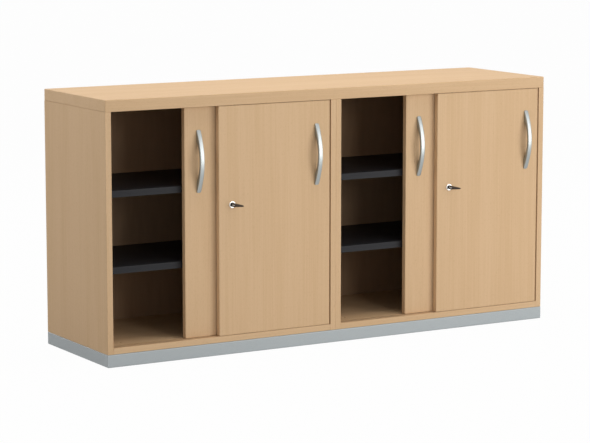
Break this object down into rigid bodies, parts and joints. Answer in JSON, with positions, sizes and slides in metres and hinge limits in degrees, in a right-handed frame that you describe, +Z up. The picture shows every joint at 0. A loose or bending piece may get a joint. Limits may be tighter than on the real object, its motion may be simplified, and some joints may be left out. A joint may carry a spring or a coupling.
{
  "type": "sliding door cabinet",
  "caption": "Low office cabinet: a thick top over two bays with steel shelves, each closed by a front and a rear sliding door with bow handles, a lock and key, on a steel plinth.",
  "frame": {"origin": "on the floor, in the middle of the carcass's width and depth", "axes": "+X to the right along the front, +Y from the front to the back, +Z up"},
  "size_m": [1.6, 0.4785, 0.808],
  "materials": {
    "beech_board": "light beech melamine, fine straight grain, satin",
    "back_board": "dark brown melamine inside, beech behind",
    "silver_steel": "silver-grey powder coat",
    "black_steel": "black powder coat, fine texture",
    "satin_aluminium": "satin anodised",
    "nickel": "bright nickel plate",
    "dark_steel": "turned, black oxide",
    "zinc_steel": "zinc plate",
    "black_plastic": "moulded, matt",
    "key_plastic": "moulded, near black",
    "white_nylon": "moulded nylon",
    "track_plastic": "extruded, beech coloured"
  },
  "bodies": {
    "carcass": {"top_panel": "beech_board", "left_outer_side": "beech_board", "left_inner_side": "beech_board", "right_inner_side": "beech_board", "right_outer_side": "beech_board", "left_bottom_panel": "beech_board", "right_bottom_panel": "beech_board", "left_back_panel": "back_board", "right_back_panel": "back_board", "plinth_front_rail": "silver_steel", "plinth_rear_rail": "silver_steel", "plinth_left_rail": "silver_steel", "plinth_right_rail": "silver_steel", "plinth_middle_rail": "silver_steel", "plinth_screws": "zinc_steel", "levelling_feet": "black_plastic", "door_tracks": "track_plastic", "left_lower_shelf": "black_steel", "left_upper_shelf": "black_steel", "right_lower_shelf": "black_steel", "right_upper_shelf": "black_steel", "shelf_supports": "zinc_steel", "connector_bolts": "nickel", "cam_fittings": "zinc_steel"},
    "left_rear_door": {"left_rear_door_panel": "beech_board", "left_rear_door_handle": "satin_aluminium", "left_rear_door_handle_screws": "zinc_steel", "left_rear_door_roller_cradles": "black_plastic", "left_rear_door_top_guides": "black_plastic"},
    "left_rear_door_roller_1": {"left_rear_door_roller_1": "white_nylon"},
    "left_rear_door_roller_2": {"left_rear_door_roller_2": "white_nylon"},
    "left_front_door": {"left_front_door_panel": "beech_board", "left_front_door_handle": "satin_aluminium", "left_front_door_handle_screws": "zinc_steel", "left_front_door_roller_cradles": "black_plastic", "left_front_door_top_guides": "black_plastic", "left_lock_housing": "nickel"},
    "left_front_door_roller_1": {"left_front_door_roller_1": "white_nylon"},
    "left_front_door_roller_2": {"left_front_door_roller_2": "white_nylon"},
    "right_rear_door": {"right_rear_door_panel": "beech_board", "right_rear_door_handle": "satin_aluminium", "right_rear_door_handle_screws": "zinc_steel", "right_rear_door_roller_cradles": "black_plastic", "right_rear_door_top_guides": "black_plastic"},
    "right_rear_door_roller_1": {"right_rear_door_roller_1": "white_nylon"},
    "right_rear_door_roller_2": {"right_rear_door_roller_2": "white_nylon"},
    "right_front_door": {"right_front_door_panel": "beech_board", "right_front_door_handle": "satin_aluminium", "right_front_door_handle_screws": "zinc_steel", "right_front_door_roller_cradles": "black_plastic", "right_front_door_top_guides": "black_plastic", "right_lock_housing": "nickel"},
    "right_front_door_roller_1": {"right_front_door_roller_1": "white_nylon"},
    "right_front_door_roller_2": {"right_front_door_roller_2": "white_nylon"},
    "left_lock_core": {"left_lock_plug": "dark_steel", "left_key_blade": "nickel"},
    "left_key_grip": {"left_key_grip": "key_plastic"},
    "right_lock_core": {"right_lock_plug": "dark_steel", "right_key_blade": "nickel"},
    "right_key_grip": {"right_key_grip": "key_plastic"}
  },
  "joints": [
    {"name": "left_rear_door_slide", "type": "slide", "parent": "carcass", "child": "left_rear_door", "axis": [1, 0, 0], "range_m": [-0.252, 0.022]},
    {"name": "left_rear_door_roller_1_spin", "type": "hinge", "parent": "left_rear_door", "child": "left_rear_door_roller_1", "pos_m": [-0.465, -0.185, 0.0653], "axis": [0, 1, 0], "range_deg": [-1205, 107]},
    {"name": "left_rear_door_roller_2_spin", "type": "hinge", "parent": "left_rear_door", "child": "left_rear_door_roller_2", "pos_m": [-0.19, -0.185, 0.0653], "axis": [0, 1, 0], "range_deg": [-1205, 107]},
    {"name": "left_front_door_slide", "type": "slide", "parent": "carcass", "child": "left_front_door", "axis": [1, 0, 0], "range_m": [-0.025, 0]},
    {"name": "left_front_door_roller_1_spin", "type": "hinge", "parent": "left_front_door", "child": "left_front_door_roller_1", "pos_m": [-0.358, -0.206, 0.0653], "axis": [0, 1, 0], "range_deg": [-121, 1]},
    {"name": "left_front_door_roller_2_spin", "type": "hinge", "parent": "left_front_door", "child": "left_front_door_roller_2", "pos_m": [-0.083, -0.206, 0.0653], "axis": [0, 1, 0], "range_deg": [-121, 1]},
    {"name": "right_rear_door_slide", "type": "slide", "parent": "carcass", "child": "right_rear_door", "axis": [1, 0, 0], "range_m": [-0.252, 0.022]},
    {"name": "right_rear_door_roller_1_spin", "type": "hinge", "parent": "right_rear_door", "child": "right_rear_door_roller_1", "pos_m": [0.335, -0.185, 0.0653], "axis": [0, 1, 0], "range_deg": [-1205, 107]},
    {"name": "right_rear_door_roller_2_spin", "type": "hinge", "parent": "right_rear_door", "child": "right_rear_door_roller_2", "pos_m": [0.61, -0.185, 0.0653], "axis": [0, 1, 0], "range_deg": [-1205, 107]},
    {"name": "right_front_door_slide", "type": "slide", "parent": "carcass", "child": "right_front_door", "axis": [1, 0, 0], "range_m": [-0.025, 0]},
    {"name": "right_front_door_roller_1_spin", "type": "hinge", "parent": "right_front_door", "child": "right_front_door_roller_1", "pos_m": [0.442, -0.206, 0.0653], "axis": [0, 1, 0], "range_deg": [-121, 1]},
    {"name": "right_front_door_roller_2_spin", "type": "hinge", "parent": "right_front_door", "child": "right_front_door_roller_2", "pos_m": [0.717, -0.206, 0.0653], "axis": [0, 1, 0], "range_deg": [-121, 1]},
    {"name": "left_key_turn", "type": "hinge", "parent": "left_front_door", "child": "left_lock_core", "pos_m": [-0.3715, -0.215, 0.466], "axis": [0, 1, 0], "range_deg": [0, 90]},
    {"name": "left_key_fold", "type": "hinge", "parent": "left_lock_core", "child": "left_key_grip", "pos_m": [-0.3715, -0.2285, 0.466], "axis": [0, 0, 1], "range_deg": [-112, 68]},
    {"name": "right_key_turn", "type": "hinge", "parent": "right_front_door", "child": "right_lock_core", "pos_m": [0.4285, -0.215, 0.466], "axis": [0, 1, 0], "range_deg": [0, 90]},
    {"name": "right_key_fold", "type": "hinge", "parent": "right_lock_core", "child": "right_key_grip", "pos_m": [0.4285, -0.2285, 0.466], "axis": [0, 0, 1], "range_deg": [-112, 68]}
  ],
  "couplings": [
    {"joint": "left_rear_door_roller_1_spin", "follows": "left_rear_door_slide", "rad_per_m": 83.333},
    {"joint": "left_rear_door_roller_2_spin", "follows": "left_rear_door_slide", "rad_per_m": 83.333},
    {"joint": "left_front_door_roller_1_spin", "follows": "left_front_door_slide", "rad_per_m": 83.333},
    {"joint": "left_front_door_roller_2_spin", "follows": "left_front_door_slide", "rad_per_m": 83.333},
    {"joint": "right_rear_door_roller_1_spin", "follows": "right_rear_door_slide", "rad_per_m": 83.333},
    {"joint": "right_rear_door_roller_2_spin", "follows": "right_rear_door_slide", "rad_per_m": 83.333},
    {"joint": "right_front_door_roller_1_spin", "follows": "right_front_door_slide", "rad_per_m": 83.333},
    {"joint": "right_front_door_roller_2_spin", "follows": "right_front_door_slide", "rad_per_m": 83.333}
  ]
}
